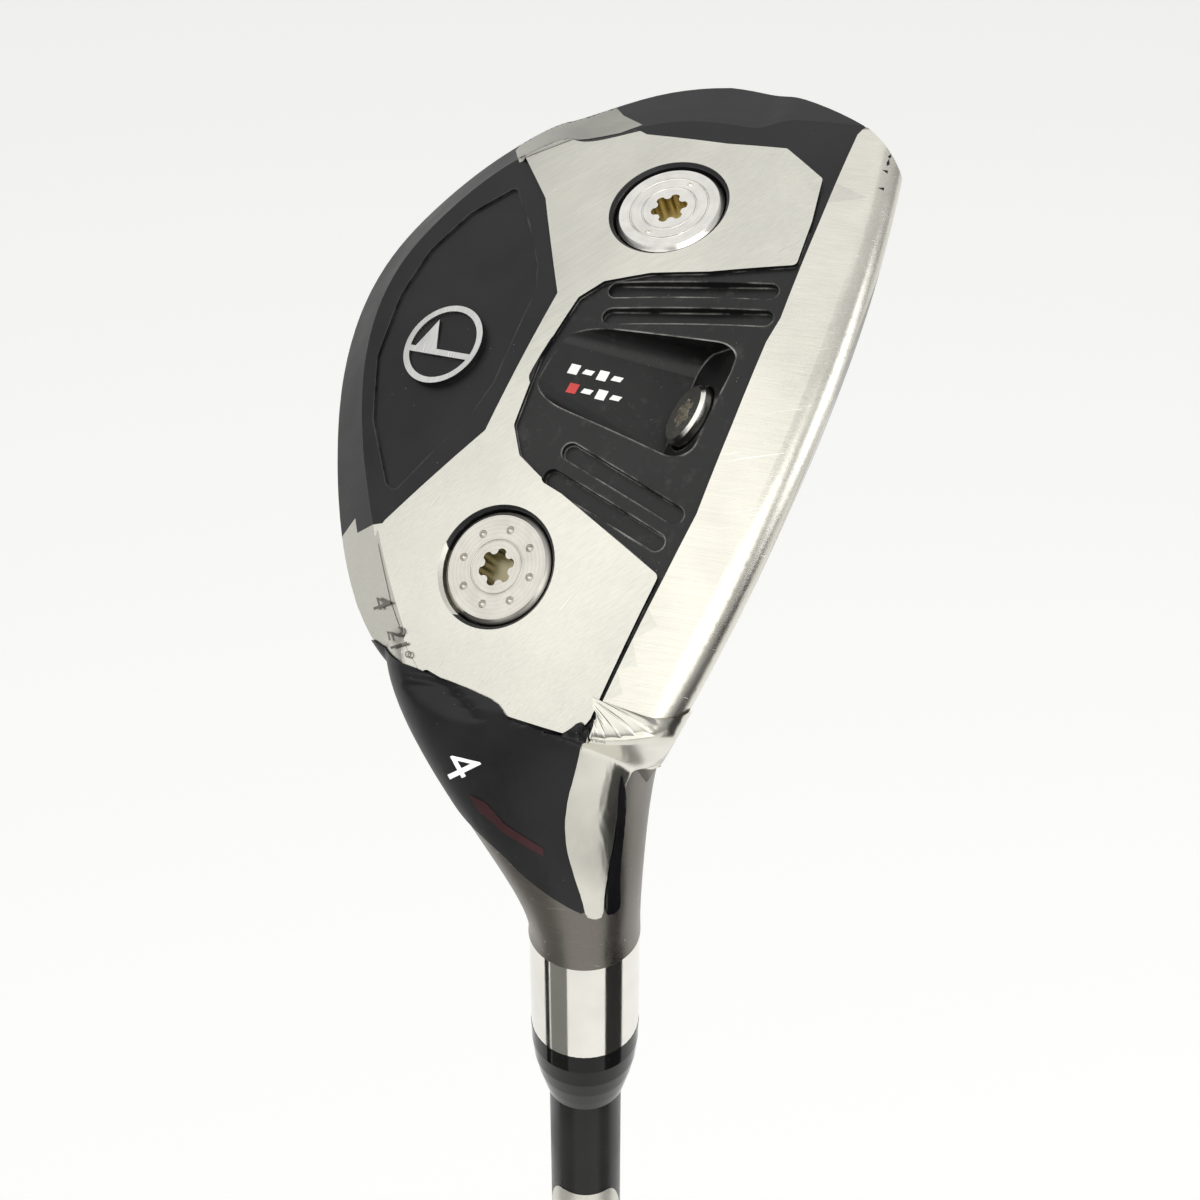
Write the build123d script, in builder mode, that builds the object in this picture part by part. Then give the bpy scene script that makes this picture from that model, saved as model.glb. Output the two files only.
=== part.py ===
from build123d import *
import math
import os

os.makedirs("parts", exist_ok=True)

# ---------------------------------------------------------------------------
# Driving dimensions, millimetres and degrees
# ---------------------------------------------------------------------------
CLUB_LENGTH = 1003.0
LIE = 59.0
LOFT = 21.0

# hosel, ferrule, shaft
HOSEL_RADIUS = 6.9
HOSEL_END = 60.0
CHROME_START = 43.5
BORE_RADIUS = 4.8
BORE_FLOOR = 28.0
TIP_RADIUS = 4.65
BUTT_RADIUS = 7.6
FERRULE_LENGTH = 12.5

# head shape
CAMBER_RADIUS = 134.0
CAMBER_X = 28.0
ROCKER_RADIUS = 160.0
ROCKER_Y = 6.0
CROWN_HEIGHT = 35.0
FACE_BULGE = 290.0
FACE_CENTRE = (32.0, 9.2, 18.0)
PAINT_STEP = 0.6
SOLE_WALL = 1.9
SIDE_WALL = 2.2
CROWN_WALL = 1.0
FACE_WALL = 2.3

# weights
WEIGHT_RADIUS = 6.8
PORT_RADIUS = 7.15
PORT_DEPTH = 3.4
STUD_RADIUS = 3.0
STUD_LENGTH = 6.0
HEEL_PORT = (8.5, -16.0)
TOE_PORT = (59.0, -15.6)

# core screw, carrier and puck
CORE_TILT = 42.0
CORE_SEAT = (33.6, -1.6, 4.9)

# grip
GRIP_LENGTH = 268.0
GRIP_BUTT_RADIUS = 13.4
GRIP_MOUTH_RADIUS = 9.3

S_LIE = math.sin(math.radians(LIE))
C_LIE = math.cos(math.radians(LIE))

# The head is drawn in its address position: x to the toe, y to the target, z up from
# the ground, with the shaft axis through the origin.  HEAD carries it to the club frame.
HEAD = Plane(origin=(0, 0, CLUB_LENGTH), x_dir=(S_LIE, 0, C_LIE), z_dir=(C_LIE, 0, -S_LIE))


def hosel_plane(height):
    """Plane square to the shaft axis, height mm up the axis from the ground."""
    return Plane(
        origin=(-C_LIE * height, 0, S_LIE * height),
        x_dir=(S_LIE, 0, C_LIE),
        z_dir=(-C_LIE, 0, S_LIE),
    )


def sole_height(x, y):
    """Height of the cambered sole above the ground."""
    return (x - CAMBER_X) ** 2 / (2 * CAMBER_RADIUS) + (y - ROCKER_Y) ** 2 / (2 * ROCKER_RADIUS)


def crown_height(x, y):
    """Height of the domed crown above the ground."""
    return CROWN_HEIGHT - (x - 34.0) ** 2 / 205.0 - (y - 2.0) ** 2 / 190.0


def block_under(height, lift, depth):
    """Solid filling the space under a height surface."""
    rows = []
    for i in range(23):
        x = -52.0 + 7.0 * i
        rows.append([Vector(x, -75.0 + 11.0 * j, height(x, -75.0 + 11.0 * j) + lift) for j in range(12)])
    skin = Face.make_surface_from_array_of_points(rows)
    return Solid.extrude(skin, Vector(0, 0, -depth))


def block_over(height, lift, depth):
    """Solid filling the space over a height surface."""
    return block_under(height, lift, -depth)


def inset(points, distance):
    """Closed plan outline moved inwards by a distance; points run clockwise from above."""
    moved = []
    count = len(points)
    for i in range(count):
        ax, ay = points[i - 1]
        bx, by = points[(i + 1) % count]
        length = math.hypot(bx - ax, by - ay)
        px, py = points[i]
        moved.append((px + (by - ay) / length * distance, py - (bx - ax) / length * distance))
    return moved


def flared(points, level, slope):
    """Plan outline at a level of a skirt that leans outwards from the sole edge, most at the toe."""
    moved = []
    count = len(points)
    for i in range(count):
        ax, ay = points[i - 1]
        bx, by = points[(i + 1) % count]
        length = math.hypot(bx - ax, by - ay)
        px, py = points[i]
        lean = slope + 0.25 * min(max((px - 60.0) / 14.0, 0.0), 1.0)
        out = (level - min(sole_height(px, py), 12.0)) * lean
        moved.append((px - (by - ay) / length * out, py + (bx - ax) / length * out))
    return moved


def sole_normal(x, y):
    """Outward direction of the sole, pointing at the ground."""
    return Vector((x - CAMBER_X) / CAMBER_RADIUS, (y - ROCKER_Y) / ROCKER_RADIUS, -1).normalized()


def port_plane(place):
    """Plane on the sole at a weight port, its normal pointing out of the sole."""
    x, y = place
    normal = sole_normal(x, y)
    return Plane(origin=(x, y, sole_height(x, y)), x_dir=(1, 0, normal.X / -normal.Z), z_dir=normal)


def core_plane(step):
    """Plane square to the core screw, step mm inwards from its seat."""
    tilt = math.radians(CORE_TILT)
    x, y, z = CORE_SEAT
    return Plane(
        origin=(x, y + math.cos(tilt) * step, z + math.sin(tilt) * step),
        x_dir=(1, 0, 0),
        z_dir=(0, -math.cos(tilt), -math.sin(tilt)),
    )


# Widest outline of the head seen from above, clockwise from the front of the heel.
SKIRT = [
    (-5.4, 7.0), (-0.4, 13.2), (12.0, 17.3), (28.0, 19.0), (44.0, 18.6), (56.0, 16.4), (66.0, 13.2),
    (73.6, 8.2), (78.8, 1.0), (82.5, -8.0), (84.3, -17.0), (83.2, -26.4), (78.6, -35.6),
    (70.0, -43.2), (60.6, -48.8), (50.4, -52.8), (40.0, -53.2), (29.8, -51.0), (19.6, -46.8),
    (9.0, -41.0), (0.4, -34.0), (-5.0, -25.8), (-7.0, -16.4), (-7.2, -4.0),
]

# Edge where the sole turns into the skirt round the toe, back and heel.
RIDGE = [
    (-34.0, 14.0), (0.0, 34.0), (30.0, 38.0), (60.0, 32.0), (76.0, 17.0), (78.6, 6.0),
    (76.6, -3.0), (74.6, -9.0), (72.4, -17.0), (72.0, -24.0), (70.4, -31.0), (63.0, -39.2),
    (53.0, -45.0), (44.0, -47.6), (35.0, -47.0), (26.0, -43.8), (17.0, -38.6), (8.0, -32.4),
    (-1.0, -25.2), (-9.0, -18.4), (-22.0, -9.0),
]

# Raised satin panel: toe arm, back web and heel arm in one outline.  It runs out over the
# skirt at both back corners.
PANEL = [
    (69.6, -24.1), (70.4, -13.0), (71.6, -5.4), (68.2, 0.9), (61.5, 2.5), (54.9, 3.4),
    (51.0, -6.3), (49.0, -13.2), (46.5, -18.4), (43.6, -20.6), (34.9, -21.7), (25.5, -21.0),
    (22.0, -18.6), (20.2, -15.0), (12.9, 3.7), (-4.6, 1.9), (-7.6, 0.6), (-9.8, -3.0), (-10.4, -6.6),
    (-5.6, -17.0), (-5.0, -20.0), (-8.4, -23.8), (-14.0, -30.0), (-4.0, -44.0),
    (3.6, -35.2), (10.4, -32.8), (24.0, -24.4), (43.6, -23.6), (57.0, -32.4), (63.2, -39.0),
    (70.0, -52.0), (88.0, -42.0), (72.4, -32.4),
]

# Sunk field inside the painted rear panel.
FIELD = [
    (58.4, -37.8), (53.0, -32.9), (47.4, -28.7), (43.8, -27.0), (30.4, -26.5), (26.0, -27.5),
    (14.4, -33.4), (15.0, -35.0), (22.6, -40.8), (31.0, -44.6), (40.0, -45.8), (47.0, -45.0),
    (53.4, -42.2),
]

# Bright band behind the leading edge.
BAND = [
    (76.4, 1.8), (68.0, 2.7), (61.5, 3.4), (54.8, 4.0), (47.3, 4.7), (43.8, 4.4), (32.5, 4.9), (21.0, 5.2),
    (13.0, 4.4), (-2.3, 2.6), (-10.5, 2.3), (-16.0, 2.6), (-20.0, 30.0), (96.0, 30.0), (96.0, 6.0),
]

# Outline of the face insert in the face plane, clockwise seen from the front.
STRIKE = [
    (27.0, -12.0), (12.0, -15.2), (0.0, -16.0), (-14.0, -15.0), (-28.0, -10.5), (-37.0, -4.0),
    (-38.5, 3.0), (-33.0, 8.6), (-18.0, 13.2), (0.0, 15.2), (14.0, 13.8), (25.0, 9.4),
    (30.0, 1.0), (30.0, -7.0),
]


def face_ball(depth):
    """Large ball whose surface lies depth mm behind the struck face."""
    tilt = math.radians(LOFT)
    fx, fy, fz = FACE_CENTRE
    centre = (fx, fy - math.cos(tilt) * FACE_BULGE, fz - math.sin(tilt) * FACE_BULGE)
    return Solid.make_sphere(FACE_BULGE - depth, Plane(centre))


def sides(shrink):
    """Solid bounded by the skirt alone, its sides moved in by shrink."""
    with BuildPart(mode=Mode.PRIVATE) as wall:
        with BuildSketch(Plane.XY.offset(-6.0)) as foot:
            with BuildLine():
                Spline(*flared(inset(RIDGE, shrink), -6.0, 0.9), periodic=True)
            make_face()
        with BuildSketch(Plane.XY.offset(50.0)) as shoulder:
            with BuildLine():
                Spline(*flared(inset(RIDGE, shrink), 50.0, 0.9), periodic=True)
            make_face()
        loft(ruled=True)
        with BuildSketch(Plane.XY.offset(-8.0)) as plan:
            with BuildLine():
                Spline(*inset(SKIRT, shrink), periodic=True)
            make_face()
        extrude(plan.sketch, amount=60.0, mode=Mode.INTERSECT)
    return wall.part


def raw_head():
    """Head with its sole, skirt, crown and softened edges, with no relief cut yet."""
    with BuildPart(mode=Mode.PRIVATE) as raw:
        add(sides(0.0))
        add(block_over(crown_height, 0.0, 60.0), mode=Mode.SUBTRACT)
        add(face_ball(0.0), mode=Mode.INTERSECT)
        add(block_under(sole_height, 0.0, 60.0), mode=Mode.SUBTRACT)
        low = [edge for edge in raw.edges() if edge.center().Y > 9.0 and edge.center().Z < 8.0]
        fillet([edge for edge in low if edge.length > 30.0], 3.0)
    return raw.part


def neck_section(height, centre, half, power):
    """Closed section of the neck, square to the shaft axis; a higher power is boxier."""
    points = []
    for step in range(16):
        angle = math.radians(22.5 * step)
        ca = math.cos(angle)
        sa = math.sin(angle)
        px = centre[0] + half[0] * math.copysign(abs(ca) ** (2.0 / power), ca)
        py = centre[1] + half[1] * math.copysign(abs(sa) ** (2.0 / power), sa)
        points.append((px, py))
    with BuildSketch(hosel_plane(height)) as section:
        with BuildLine():
            Spline(*points, periodic=True)
        make_face()
    return section.sketch


def neck():
    """Neck blended from the round hosel into the heel."""
    with BuildPart(mode=Mode.PRIVATE) as stem:
        loft([
            neck_section(CHROME_START, (0.0, 0.0), (HOSEL_RADIUS, HOSEL_RADIUS), 2.0),
            neck_section(37.0, (0.2, -0.8), (7.2, 7.6), 2.05),
            neck_section(30.0, (1.4, -3.4), (8.4, 9.8), 2.3),
            neck_section(22.0, (5.0, -7.6), (11.6, 13.1), 2.4),
            neck_section(14.0, (8.8, -10.5), (14.2, 17.1), 2.4),
            neck_section(6.0, (13.4, -9.6), (15.2, 18.4), 2.7),
        ])
        add(block_under(sole_height, 0.0, 60.0), mode=Mode.SUBTRACT)
    return stem.part


def plan_prism(points, bottom, top, smooth=False):
    """Upright solid over a plan outline."""
    with BuildPart(mode=Mode.PRIVATE) as prism:
        with BuildSketch(Plane.XY.offset(bottom)) as plan:
            with BuildLine():
                if smooth:
                    Spline(*points, periodic=True)
                else:
                    Polyline(*points, close=True)
            make_face()
            if not smooth:
                fillet(plan.vertices(), 0.7)
        extrude(amount=top - bottom)
    return prism.part


def face_window(margin):
    """Prism through the face insert outline, margin mm smaller all round."""
    tilt = math.radians(LOFT)
    plane = Plane(origin=FACE_CENTRE, x_dir=(-1, 0, 0), z_dir=(0, math.cos(tilt), math.sin(tilt)))
    with BuildPart(mode=Mode.PRIVATE) as window:
        with BuildSketch(plane.offset(-8.0)) as shape:
            with BuildLine():
                Spline(*inset(STRIKE, margin), periodic=True)
            make_face()
        extrude(amount=16.0)
    return window.part


def crown_prism(margin):
    """Prism through the crown outline, margin mm smaller all round."""
    with BuildPart(mode=Mode.PRIVATE) as prism:
        with BuildSketch(Plane.XY.offset(8.0)) as plan:
            with BuildLine():
                Spline(*inset(SKIRT, 2.2 + margin), periodic=True)
            make_face()
            with Locations((40.0 + 3.0 + margin, -60.0 - 1.5 - margin)):
                Rectangle(80.0, 120.0, mode=Mode.INTERSECT)
            fillet(plan.vertices(), 4.0)
        extrude(amount=50.0)
        add(sides(2.2 + margin), mode=Mode.INTERSECT)
    return prism.part


def lobed_recess(size):
    """Six-lobed driver recess outline, size mm across the lobes."""
    Circle(size * 0.36)
    with PolarLocations(size * 0.36, 6):
        Circle(size * 0.14)
    with PolarLocations(size * 0.47, 6, start_angle=30.0):
        Circle(size * 0.12, mode=Mode.SUBTRACT)


def cavity():
    """Hollow of the head, open at the crown, with the bosses left standing in it."""
    with BuildPart(mode=Mode.PRIVATE) as hollow:
        with BuildSketch(Plane.XY.offset(-2.0)):
            with BuildLine():
                Spline(*inset(SKIRT, 3.6), periodic=True)
            make_face()
        extrude(amount=60.0)
        with Locations((51.0, -30.0, 30.0)):
            Box(100.0, 120.0, 120.0, mode=Mode.INTERSECT)
        add(sides(2.6), mode=Mode.INTERSECT)
        add(face_ball(FACE_WALL + 0.6), mode=Mode.INTERSECT)
        add(block_under(sole_height, PAINT_STEP + SOLE_WALL, 60.0), mode=Mode.SUBTRACT)
        for place in (HEEL_PORT, TOE_PORT):
            with Locations(port_plane(place).offset(-2.0)):
                Cylinder(8.6, 22.0, mode=Mode.SUBTRACT)
        with Locations(core_plane(1.6)):
            Cylinder(7.4, 16.0, mode=Mode.SUBTRACT)
        add(pocket(1.8), mode=Mode.SUBTRACT)
    return hollow.part


def pocket(grow):
    """Tapering pocket in the sole that reaches the core screw."""
    with BuildPart(mode=Mode.PRIVATE) as space:
        with BuildSketch(core_plane(0.0 + grow)):
            with Locations((0.9, -0.4)):
                RectangleRounded(16.4 + 2 * grow, 9.4 + 2 * grow, 3.0 + grow / 2)
        with BuildSketch(core_plane(-17.0)):
            with Locations((1.2, 1.6)):
                RectangleRounded(9.4 + 2 * grow, 20.8 + 2 * grow, 2.4 + grow / 2)
        loft()
    return space.part


# ---------------------------------------------------------------------------
# Head casting
# ---------------------------------------------------------------------------
with BuildPart() as head_body:
    add(raw_head())
    add(neck())
    with Locations(hosel_plane((CHROME_START + HOSEL_END) / 2)):
        Cylinder(HOSEL_RADIUS - 0.08, HOSEL_END - CHROME_START)
    add(cavity(), mode=Mode.SUBTRACT)
    # painted ground around the raised panel and the bright band
    relief = block_under(sole_height, PAINT_STEP, 60.0)
    relief = relief - plan_prism(PANEL, -20.0, 30.0) - plan_prism(BAND, -20.0, 30.0)
    add(relief, mode=Mode.SUBTRACT)
    # sunk field of the rear panel
    add(block_under(sole_height, PAINT_STEP + 0.35, 60.0) & plan_prism(FIELD, -20.0, 20.0), mode=Mode.SUBTRACT)
    # seat of the face insert
    seat = face_window(0.0) - face_ball(FACE_WALL)
    add(seat, mode=Mode.SUBTRACT)
    # seat of the crown
    add(crown_prism(0.0) - block_under(crown_height, -CROWN_WALL, 60.0), mode=Mode.SUBTRACT)
    # weight ports
    for place in (HEEL_PORT, TOE_PORT):
        with Locations(port_plane(place).offset(-PORT_DEPTH / 2 + 1.0)):
            Cylinder(PORT_RADIUS, PORT_DEPTH + 2.0, mode=Mode.SUBTRACT)
        with Locations(port_plane(place).offset(0.0)):
            Cone(PORT_RADIUS - 0.6, PORT_RADIUS + 1.8, 2.4, mode=Mode.SUBTRACT)
        with Locations(port_plane(place).offset(-PORT_DEPTH - STUD_LENGTH / 2)):
            Cylinder(STUD_RADIUS + 0.05, STUD_LENGTH + 1.0, mode=Mode.SUBTRACT)
    # pocket and bore of the core screw
    add(pocket(0.0), mode=Mode.SUBTRACT)
    with Locations(core_plane(0.5)):
        Cylinder(4.3, 1.4, mode=Mode.SUBTRACT)
    with Locations(core_plane(3.0)):
        Cylinder(2.1, 6.0, mode=Mode.SUBTRACT)
    with Locations(core_plane(11.4)):
        Cylinder(5.6, 14.0, mode=Mode.SUBTRACT)
    # ribbed troughs each side of the pocket
    for place, heading, length in (((46.6, -7.0), 76.0, 21.0), ((20.4, -5.6), 104.0, 18.0)):
        x, y = place
        for side in (-1.9, 1.9):
            off = math.radians(heading - 90.0)
            spot = (x + side * math.cos(off), y + side * math.sin(off))
            with BuildSketch(port_plane(spot)) as slot:
                SlotOverall(length, 2.2, rotation=-heading)
            extrude(slot.sketch, amount=-1.7, mode=Mode.SUBTRACT)
    # badge recess
    with Locations(port_plane((33.8, -35.6))):
        Cylinder(5.6, 2.0, mode=Mode.SUBTRACT)
    # bore for the shaft
    with Locations(hosel_plane((BORE_FLOOR + HOSEL_END + 2.0) / 2)):
        Cylinder(BORE_RADIUS, HOSEL_END + 2.0 - BORE_FLOOR, mode=Mode.SUBTRACT)
head_body.part.locate(HEAD.location)
head_body.part.label = "head_body"
export_step(head_body.part, "parts/head_body.step")


# ---------------------------------------------------------------------------
# Face insert with score lines
# ---------------------------------------------------------------------------
def score_lines():
    """Nine level grooves with short outer lengths beside them, cut 0.4 mm deep."""
    tilt = math.radians(LOFT)
    strike = Plane(origin=FACE_CENTRE, x_dir=(-1, 0, 0), z_dir=(0, math.cos(tilt), math.sin(tilt)))
    with BuildPart(mode=Mode.PRIVATE) as score:
        with BuildSketch(strike.offset(-3.0)) as rows:
            for row in range(9):
                with Locations((2.0, -12.0 + 3.0 * row)):
                    Rectangle(34.0, 0.7)
            for row in range(2, 8):
                with Locations((-22.5, -12.0 + 3.0 * row), (24.0, -12.0 + 3.0 * row)):
                    Rectangle(5.0, 0.7)
        extrude(amount=6.0)
        add(face_ball(0.4), mode=Mode.SUBTRACT)
    return score.part


with BuildPart() as face_plate:
    add(face_window(0.05))
    add(face_ball(0.0), mode=Mode.INTERSECT)
    add(face_ball(FACE_WALL - 0.05), mode=Mode.SUBTRACT)
    add(score_lines(), mode=Mode.SUBTRACT)
face_plate.part.locate(HEAD.location)
face_plate.part.label = "face_plate"
export_step(face_plate.part, "parts/face_plate.step")

# ---------------------------------------------------------------------------
# Crown shell
# ---------------------------------------------------------------------------
with BuildPart() as crown_plate:
    add(crown_prism(0.05))
    add(block_over(crown_height, 0.0, 60.0), mode=Mode.SUBTRACT)
    add(block_under(crown_height, 0.02 - CROWN_WALL, 60.0), mode=Mode.SUBTRACT)
crown_plate.part.locate(HEAD.location)
crown_plate.part.label = "crown_plate"
export_step(crown_plate.part, "parts/crown_plate.step")


def weight_disc(place):
    """Disc, stud and back groove shared by both sole weights."""
    with Locations(port_plane(place).offset(-0.35 - 1.5)):
        Cylinder(WEIGHT_RADIUS, 3.0)
    with Locations(port_plane(place).offset(-3.35 - STUD_LENGTH / 2 + 0.1)):
        Cylinder(STUD_RADIUS - 0.03, STUD_LENGTH + 0.2)
    with Locations(port_plane(place).offset(-3.35)):
        Torus(5.2, 0.62, mode=Mode.SUBTRACT)
    with Locations(port_plane(place).offset(-3.35 - STUD_LENGTH)):
        Cylinder(2.0, 8.0, mode=Mode.SUBTRACT)


# ---------------------------------------------------------------------------
# Heel weight: dimpled disc, its dense core and its sealing ring
# ---------------------------------------------------------------------------
with BuildPart() as heel_weight:
    weight_disc(HEEL_PORT)
    chamfer(heel_weight.faces().filter_by(GeomType.PLANE).sort_by_distance(port_plane(HEEL_PORT).origin)[0].edges(), 0.5)
    top = port_plane(HEEL_PORT).offset(-0.35)
    with BuildSketch(top) as driver:
        lobed_recess(4.6)
    extrude(driver.sketch, amount=-2.0, mode=Mode.SUBTRACT)
    with Locations(top):
        with PolarLocations(4.6, 8):
            Sphere(0.5, mode=Mode.SUBTRACT)
        Torus(3.3, 0.12, mode=Mode.SUBTRACT)
heel_weight.part.locate(HEAD.location)
heel_weight.part.label = "heel_weight"
export_step(heel_weight.part, "parts/heel_weight.step")

with BuildPart() as heel_slug:
    with Locations(port_plane(HEEL_PORT).offset(-3.35 - STUD_LENGTH + 2.0)):
        Cylinder(2.0, 3.9)
heel_slug.part.locate(HEAD.location)
heel_slug.part.label = "heel_slug"
export_step(heel_slug.part, "parts/heel_slug.step")

with BuildPart() as heel_seal:
    with Locations(port_plane(HEEL_PORT).offset(-3.35)):
        Torus(5.2, 0.5)
    with Locations(port_plane(HEEL_PORT).offset(-3.38 - 1.0)):
        Cylinder(7.0, 2.0, mode=Mode.SUBTRACT)
heel_seal.part.locate(HEAD.location)
heel_seal.part.label = "heel_seal"
export_step(heel_seal.part, "parts/heel_seal.step")

# ---------------------------------------------------------------------------
# Toe weight: turned disc, its dense core and its sealing ring
# ---------------------------------------------------------------------------
with BuildPart() as toe_weight:
    weight_disc(TOE_PORT)
    chamfer(toe_weight.faces().filter_by(GeomType.PLANE).sort_by_distance(port_plane(TOE_PORT).origin)[0].edges(), 0.5)
    top = port_plane(TOE_PORT).offset(-0.35)
    with BuildSketch(top) as driver:
        lobed_recess(4.6)
    extrude(driver.sketch, amount=-2.0, mode=Mode.SUBTRACT)
    with Locations(top):
        Torus(4.9, 0.14, mode=Mode.SUBTRACT)
        Torus(3.4, 0.14, mode=Mode.SUBTRACT)
        with PolarLocations(4.3, 2, start_angle=-12.0, angular_range=360.0):
            Sphere(0.42, mode=Mode.SUBTRACT)
toe_weight.part.locate(HEAD.location)
toe_weight.part.label = "toe_weight"
export_step(toe_weight.part, "parts/toe_weight.step")

with BuildPart() as toe_slug:
    with Locations(port_plane(TOE_PORT).offset(-3.35 - STUD_LENGTH + 2.0)):
        Cylinder(2.0, 3.9)
toe_slug.part.locate(HEAD.location)
toe_slug.part.label = "toe_slug"
export_step(toe_slug.part, "parts/toe_slug.step")

with BuildPart() as toe_seal:
    with Locations(port_plane(TOE_PORT).offset(-3.35)):
        Torus(5.2, 0.5)
    with Locations(port_plane(TOE_PORT).offset(-3.38 - 1.0)):
        Cylinder(7.0, 2.0, mode=Mode.SUBTRACT)
toe_seal.part.locate(HEAD.location)
toe_seal.part.label = "toe_seal"
export_step(toe_seal.part, "parts/toe_seal.step")

# ---------------------------------------------------------------------------
# Core screw, its seal, the carrier it pushes and the soft puck behind the face
# ---------------------------------------------------------------------------
with BuildPart() as core_screw:
    with Locations(core_plane(-0.3)):
        Cylinder(3.9, 2.2)
    chamfer(core_screw.faces().sort_by_distance(core_plane(-2.0).origin)[0].edges(), 0.4)
    with Locations(core_plane(3.85)):
        Cylinder(2.05, 6.3)
    with BuildSketch(core_plane(-1.4)) as driver:
        lobed_recess(4.0)
    extrude(driver.sketch, amount=-1.7, mode=Mode.SUBTRACT)
core_screw.part.locate(HEAD.location)
core_screw.part.label = "core_screw"
export_step(core_screw.part, "parts/core_screw.step")

with BuildPart() as core_seal:
    with Locations(core_plane(1.02)):
        Cylinder(3.9, 0.34)
        Cylinder(2.4, 0.34, mode=Mode.SUBTRACT)
core_seal.part.locate(HEAD.location)
core_seal.part.label = "core_seal"
export_step(core_seal.part, "parts/core_seal.step")

with BuildPart() as core_carrier:
    with Locations(core_plane(7.1)):
        Cylinder(5.5, 2.2)
    with Locations(core_plane(6.5)):
        Cylinder(2.12, 1.2, mode=Mode.SUBTRACT)
core_carrier.part.locate(HEAD.location)
core_carrier.part.label = "core_carrier"
export_step(core_carrier.part, "parts/core_carrier.step")

with BuildPart() as core_puck:
    with Locations(core_plane(12.2)):
        Cylinder(5.3, 8.0)
    add(face_ball(FACE_WALL + 0.02), mode=Mode.INTERSECT)
core_puck.part.locate(HEAD.location)
core_puck.part.label = "core_puck"
export_step(core_puck.part, "parts/core_puck.step")

# ---------------------------------------------------------------------------
# Badge on the back of the sole, with its adhesive
# ---------------------------------------------------------------------------
with BuildPart() as sole_badge:
    badge_plane = port_plane((33.8, -35.6))
    with Locations(badge_plane.offset(-0.65)):
        Cylinder(5.5, 0.5)
    with BuildSketch(badge_plane.offset(-0.4)) as mark:
        Circle(5.5)
        Circle(4.7, mode=Mode.SUBTRACT)
        with Locations((-1.2, 0.0)):
            Rectangle(0.8, 9.6)
        with BuildLine():
            Polyline((-1.2, 4.0), (3.2, 2.2), (-1.2, 0.4), close=True)
        make_face()
    extrude(mark.sketch, amount=0.4)
sole_badge.part.locate(HEAD.location)
sole_badge.part.label = "sole_badge"
export_step(sole_badge.part, "parts/sole_badge.step")

with BuildPart() as badge_tape:
    with Locations(port_plane((33.8, -35.6)).offset(-0.95)):
        Cylinder(5.3, 0.1)
badge_tape.part.locate(HEAD.location)
badge_tape.part.label = "badge_tape"
export_step(badge_tape.part, "parts/badge_tape.step")

# ---------------------------------------------------------------------------
# Catch glue lying on the floor of the cavity
# ---------------------------------------------------------------------------
with BuildPart() as catch_glue:
    with Locations((36.0, -34.0, 2.5)):
        Sphere(8.5)
    add(block_under(sole_height, PAINT_STEP + SOLE_WALL, 60.0), mode=Mode.SUBTRACT)
catch_glue.part.locate(HEAD.location)
catch_glue.part.label = "catch_glue"
export_step(catch_glue.part, "parts/catch_glue.step")


# ---------------------------------------------------------------------------
# Parts turned about the shaft axis, drawn in the club frame: z runs from the butt
# to the head, r is the radius
# ---------------------------------------------------------------------------
def turned(points):
    """Solid of revolution from (r, z) corners."""
    with BuildSketch(Plane.XZ) as profile:
        with BuildLine():
            Polyline(*points, close=True)
        make_face()
    revolve(profile.sketch, axis=Axis.Z)


def shaft_radius(z):
    """Outside radius of the shaft under the grip."""
    return BUTT_RADIUS - 0.15 * (z - SHAFT_TOP) / (300.0 - SHAFT_TOP)


HOSEL_Z = CLUB_LENGTH - HOSEL_END
SHAFT_TOP = 4.0
SHAFT_TIP = CLUB_LENGTH - BORE_FLOOR - 0.2

with BuildPart() as ferrule:
    turned([
        (TIP_RADIUS + 0.04, HOSEL_Z), (6.85, HOSEL_Z), (6.8, HOSEL_Z - 3.0), (6.5, HOSEL_Z - 6.0),
        (6.0, HOSEL_Z - 8.6), (5.4, HOSEL_Z - 11.0), (5.0, HOSEL_Z - FERRULE_LENGTH),
        (TIP_RADIUS + 0.04, HOSEL_Z - FERRULE_LENGTH),
    ])
ferrule.part.label = "ferrule"
export_step(ferrule.part, "parts/ferrule.step")

with BuildPart() as shaft:
    turned([
        (BUTT_RADIUS - 1.2, SHAFT_TOP), (BUTT_RADIUS, SHAFT_TOP), (BUTT_RADIUS - 0.15, 300.0),
        (TIP_RADIUS, SHAFT_TIP - 125.0), (TIP_RADIUS, SHAFT_TIP), (2.5, SHAFT_TIP),
        (2.5, SHAFT_TIP - 125.0), (BUTT_RADIUS - 1.35, 300.0),
    ])
shaft.part.label = "shaft"
export_step(shaft.part, "parts/shaft.step")

with BuildPart() as shaft_epoxy:
    turned([
        (TIP_RADIUS, SHAFT_TIP), (TIP_RADIUS, HOSEL_Z), (BORE_RADIUS, HOSEL_Z),
        (BORE_RADIUS, SHAFT_TIP),
    ])
shaft_epoxy.part.label = "shaft_epoxy"
export_step(shaft_epoxy.part, "parts/shaft_epoxy.step")

with BuildPart() as tip_plug:
    with Locations((0, 0, SHAFT_TIP - 8.0)):
        Cylinder(2.5, 14.0)
tip_plug.part.label = "tip_plug"
export_step(tip_plug.part, "parts/tip_plug.step")

with BuildPart() as grip_tape:
    turned([
        (BUTT_RADIUS + 0.005, SHAFT_TOP), (BUTT_RADIUS + 0.15, SHAFT_TOP),
        (shaft_radius(250.0) + 0.15, 250.0), (shaft_radius(250.0) + 0.005, 250.0),
    ])
grip_tape.part.label = "grip_tape"
export_step(grip_tape.part, "parts/grip_tape.step")

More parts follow.
